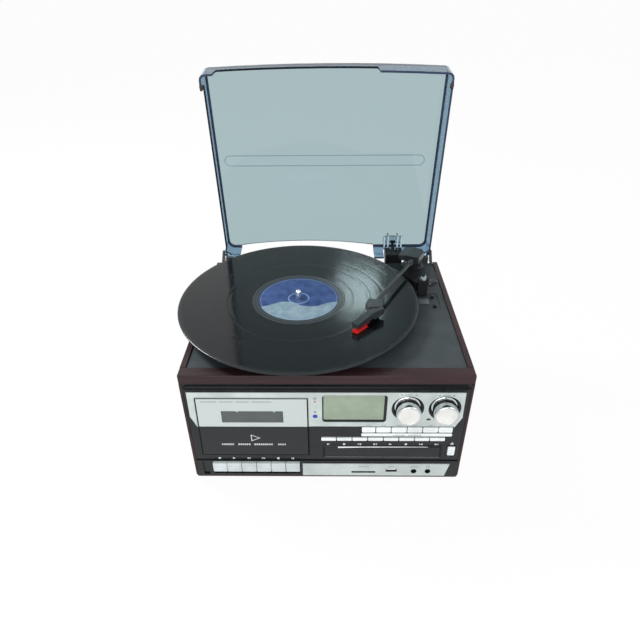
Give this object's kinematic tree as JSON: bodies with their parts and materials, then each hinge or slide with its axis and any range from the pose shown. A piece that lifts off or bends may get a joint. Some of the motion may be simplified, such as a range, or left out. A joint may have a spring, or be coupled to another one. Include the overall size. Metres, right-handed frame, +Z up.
{
  "type": "record player with cassette and disc player",
  "caption": "Wooden box record player with a record on its platter, tonearm, open smoked lid, cassette door, display, knobs, buttons and a disc drawer in front.",
  "frame": {"origin": "middle of the object's box in plan, on the plane that its feet stand on", "axes": "+Z up; the front panel with the door, display and knobs faces -Y; +X is the viewer's right from the front"},
  "size_m": [0.3476, 0.3148, 0.4331],
  "materials": {
    "base_wood": "dark brown painted fibreboard",
    "wood_veneer": "dark red-brown wood veneer, satin",
    "black_plastic": "satin black moulded plastic",
    "deck_plastic": "dark grey fine-textured plastic",
    "chrome": "polished chrome",
    "steel": "plain steel",
    "belt_rubber": "black rubber",
    "gloss_black": "gloss black plastic",
    "silver_plastic": "pale silver satin paint",
    "display": "grey-green liquid crystal display",
    "grey_plastic": "grey moulded plastic",
    "board_green": "green printed circuit board",
    "platter_mat": "black ribbed mat on a dark platter",
    "vinyl": "black grooved vinyl with a blue paper label",
    "pulley_brass": "turned brass",
    "arm_grey": "dark grey satin",
    "stylus_red": "black cartridge with a red stylus guard",
    "clip_grey": "grey translucent plastic",
    "smoked_clear": "smoked blue-grey clear acrylic",
    "dark_window": "dark tinted window",
    "knob_metal": "satin face with chromed sides",
    "button_silver": "silver-white gloss plastic",
    "key_silver": "silver gloss plastic"
  },
  "bodies": {
    "cabinet": {"base_board": "base_wood", "left_side": "wood_veneer", "right_side": "wood_veneer", "front_rail": "wood_veneer", "rear_panel": "black_plastic", "deck_plate": "deck_plastic", "spindle": "chrome", "motor": "steel", "drive_belt": "belt_rubber", "tonearm_base": "black_plastic", "arm_rest": "black_plastic", "hinge_block": "black_plastic", "fascia": "gloss_black", "silver_panel": "silver_plastic", "lower_strip": "silver_plastic", "lcd_display": "display", "disc_mechanism": "grey_plastic", "cassette_mechanism": "steel", "circuit_board": "board_green", "left_speaker": "black_plastic", "right_speaker": "black_plastic"},
    "turntable": {"platter": "platter_mat", "record": "vinyl"},
    "pulley": {"motor_pulley": "pulley_brass"},
    "arm_swivel": {"arm_cap": "black_plastic"},
    "arm_lever": {"arm_tube": "arm_grey", "headshell": "arm_grey", "cartridge": "stylus_red"},
    "rest_clip": {"arm_clip": "clip_grey"},
    "cue_handle": {"cue_lever": "black_plastic"},
    "speed_slider": {"speed_switch": "black_plastic"},
    "stop_slider": {"auto_stop_switch": "black_plastic"},
    "dust_cover": {"lid": "smoked_clear", "hinge_tongue": "black_plastic"},
    "tape_door": {"cassette_door": "silver_plastic", "door_window": "dark_window"},
    "left_knob": {"volume_knob": "knob_metal"},
    "right_knob": {"tuning_knob": "knob_metal"},
    "drawer": {"disc_drawer": "gloss_black"},
    "function_button_1_cap": {"function_button_1": "button_silver"},
    "function_button_2_cap": {"function_button_2": "button_silver"},
    "function_button_3_cap": {"function_button_3": "button_silver"},
    "function_button_4_cap": {"function_button_4": "button_silver"},
    "function_button_5_cap": {"function_button_5": "button_silver"},
    "function_button_6_cap": {"function_button_6": "button_silver"},
    "disc_button_1_cap": {"disc_button_1": "button_silver"},
    "disc_button_2_cap": {"disc_button_2": "button_silver"},
    "disc_button_3_cap": {"disc_button_3": "button_silver"},
    "disc_button_4_cap": {"disc_button_4": "button_silver"},
    "disc_button_5_cap": {"disc_button_5": "button_silver"},
    "disc_button_6_cap": {"disc_button_6": "button_silver"},
    "disc_button_7_cap": {"disc_button_7": "button_silver"},
    "disc_button_8_cap": {"disc_button_8": "button_silver"},
    "open_button_cap": {"open_button": "button_silver"},
    "cassette_key_1_cap": {"cassette_key_1": "key_silver"},
    "cassette_key_2_cap": {"cassette_key_2": "key_silver"},
    "cassette_key_3_cap": {"cassette_key_3": "key_silver"},
    "cassette_key_4_cap": {"cassette_key_4": "key_silver"},
    "cassette_key_5_cap": {"cassette_key_5": "key_silver"},
    "cassette_key_6_cap": {"cassette_key_6": "key_silver"}
  },
  "joints": [
    {"name": "lid_hinge", "type": "hinge", "parent": "cabinet", "child": "dust_cover", "pos_m": [0.01227, 0.13013, 0.1742], "axis": [-1, 0, 0], "range_deg": [-84.25, 4]},
    {"name": "platter_spin", "type": "hinge", "parent": "cabinet", "child": "turntable", "pos_m": [-0.02303, -0.00667, 0.175], "axis": [0, 0, 1], "continuous": true},
    {"name": "pulley_spin", "type": "hinge", "parent": "cabinet", "child": "pulley", "pos_m": [-0.07818, -0.06183, 0.171], "axis": [0, 0, 1], "continuous": true},
    {"name": "arm_swing", "type": "hinge", "parent": "cabinet", "child": "arm_swivel", "pos_m": [0.13687, 0.08483, 0.19], "axis": [0, 0, 1], "range_deg": [-12.5, 30]},
    {"name": "arm_lift", "type": "hinge", "parent": "arm_swivel", "child": "arm_lever", "pos_m": [0.13687, 0.08483, 0.193], "axis": [-0.8796, 0.4756, 0], "range_deg": [0, 4]},
    {"name": "cue_turn", "type": "hinge", "parent": "cabinet", "child": "cue_handle", "pos_m": [0.14988, 0.05083, 0.1732], "axis": [-1, 0, 0], "range_deg": [0, 12]},
    {"name": "clip_turn", "type": "hinge", "parent": "cabinet", "child": "rest_clip", "pos_m": [0.14718, 0.02583, 0.187], "axis": [0, 1, 0], "range_deg": [-70, 0]},
    {"name": "speed_slide", "type": "slide", "parent": "cabinet", "child": "speed_slider", "axis": [0, 1, 0], "range_m": [0, 0.005]},
    {"name": "stop_slide", "type": "slide", "parent": "cabinet", "child": "stop_slider", "axis": [0, 1, 0], "range_m": [0, 0.005]},
    {"name": "door_hinge", "type": "hinge", "parent": "cabinet", "child": "tape_door", "pos_m": [-0.07172, -0.14237, 0.0449], "axis": [1, 0, 0], "range_deg": [0, 25]},
    {"name": "volume_turn", "type": "hinge", "parent": "cabinet", "child": "left_knob", "pos_m": [0.10347, -0.14817, 0.1206], "axis": [0, -1, 0], "range_deg": [-150, 150]},
    {"name": "tuning_turn", "type": "hinge", "parent": "cabinet", "child": "right_knob", "pos_m": [0.14477, -0.14817, 0.1206], "axis": [0, -1, 0], "continuous": true},
    {"name": "drawer_slide", "type": "slide", "parent": "cabinet", "child": "drawer", "axis": [0, -1, 0], "range_m": [0, 0.12]},
    {"name": "function_button_1_push", "type": "slide", "parent": "cabinet", "child": "function_button_1_cap", "axis": [0, 1, 0], "range_m": [0, 0.0012], "stiffness_N_per_m": 400, "springref_m": -0.002},
    {"name": "function_button_2_push", "type": "slide", "parent": "cabinet", "child": "function_button_2_cap", "axis": [0, 1, 0], "range_m": [0, 0.0012], "stiffness_N_per_m": 400, "springref_m": -0.002},
    {"name": "function_button_3_push", "type": "slide", "parent": "cabinet", "child": "function_button_3_cap", "axis": [0, 1, 0], "range_m": [0, 0.0012], "stiffness_N_per_m": 400, "springref_m": -0.002},
    {"name": "function_button_4_push", "type": "slide", "parent": "cabinet", "child": "function_button_4_cap", "axis": [0, 1, 0], "range_m": [0, 0.0012], "stiffness_N_per_m": 400, "springref_m": -0.002},
    {"name": "function_button_5_push", "type": "slide", "parent": "cabinet", "child": "function_button_5_cap", "axis": [0, 1, 0], "range_m": [0, 0.0012], "stiffness_N_per_m": 400, "springref_m": -0.002},
    {"name": "function_button_6_push", "type": "slide", "parent": "cabinet", "child": "function_button_6_cap", "axis": [0, 1, 0], "range_m": [0, 0.0012], "stiffness_N_per_m": 400, "springref_m": -0.002},
    {"name": "disc_button_1_push", "type": "slide", "parent": "cabinet", "child": "disc_button_1_cap", "axis": [0, 1, 0], "range_m": [0, 0.0012], "stiffness_N_per_m": 400, "springref_m": -0.002},
    {"name": "disc_button_2_push", "type": "slide", "parent": "cabinet", "child": "disc_button_2_cap", "axis": [0, 1, 0], "range_m": [0, 0.0012], "stiffness_N_per_m": 400, "springref_m": -0.002},
    {"name": "disc_button_3_push", "type": "slide", "parent": "cabinet", "child": "disc_button_3_cap", "axis": [0, 1, 0], "range_m": [0, 0.0012], "stiffness_N_per_m": 400, "springref_m": -0.002},
    {"name": "disc_button_4_push", "type": "slide", "parent": "cabinet", "child": "disc_button_4_cap", "axis": [0, 1, 0], "range_m": [0, 0.0012], "stiffness_N_per_m": 400, "springref_m": -0.002},
    {"name": "disc_button_5_push", "type": "slide", "parent": "cabinet", "child": "disc_button_5_cap", "axis": [0, 1, 0], "range_m": [0, 0.0012], "stiffness_N_per_m": 400, "springref_m": -0.002},
    {"name": "disc_button_6_push", "type": "slide", "parent": "cabinet", "child": "disc_button_6_cap", "axis": [0, 1, 0], "range_m": [0, 0.0012], "stiffness_N_per_m": 400, "springref_m": -0.002},
    {"name": "disc_button_7_push", "type": "slide", "parent": "cabinet", "child": "disc_button_7_cap", "axis": [0, 1, 0], "range_m": [0, 0.0012], "stiffness_N_per_m": 400, "springref_m": -0.002},
    {"name": "disc_button_8_push", "type": "slide", "parent": "cabinet", "child": "disc_button_8_cap", "axis": [0, 1, 0], "range_m": [0, 0.0012], "stiffness_N_per_m": 400, "springref_m": -0.002},
    {"name": "open_button_push", "type": "slide", "parent": "cabinet", "child": "open_button_cap", "axis": [0, 1, 0], "range_m": [0, 0.0012], "stiffness_N_per_m": 400, "springref_m": -0.002},
    {"name": "cassette_key_1_push", "type": "slide", "parent": "cabinet", "child": "cassette_key_1_cap", "axis": [0, 1, 0], "range_m": [0, 0.004], "stiffness_N_per_m": 500, "springref_m": -0.003},
    {"name": "cassette_key_2_push", "type": "slide", "parent": "cabinet", "child": "cassette_key_2_cap", "axis": [0, 1, 0], "range_m": [0, 0.004], "stiffness_N_per_m": 500, "springref_m": -0.003},
    {"name": "cassette_key_3_push", "type": "slide", "parent": "cabinet", "child": "cassette_key_3_cap", "axis": [0, 1, 0], "range_m": [0, 0.004], "stiffness_N_per_m": 500, "springref_m": -0.003},
    {"name": "cassette_key_4_push", "type": "slide", "parent": "cabinet", "child": "cassette_key_4_cap", "axis": [0, 1, 0], "range_m": [0, 0.004], "stiffness_N_per_m": 500, "springref_m": -0.003},
    {"name": "cassette_key_5_push", "type": "slide", "parent": "cabinet", "child": "cassette_key_5_cap", "axis": [0, 1, 0], "range_m": [0, 0.004], "stiffness_N_per_m": 500, "springref_m": -0.003},
    {"name": "cassette_key_6_push", "type": "slide", "parent": "cabinet", "child": "cassette_key_6_cap", "axis": [0, 1, 0], "range_m": [0, 0.004], "stiffness_N_per_m": 500, "springref_m": -0.003}
  ],
  "couplings": [
    {"joint": "pulley_spin", "follows": "platter_spin", "ratio": 8.8125},
    {"joint": "cue_turn", "follows": "arm_lift", "ratio": 3}
  ]
}
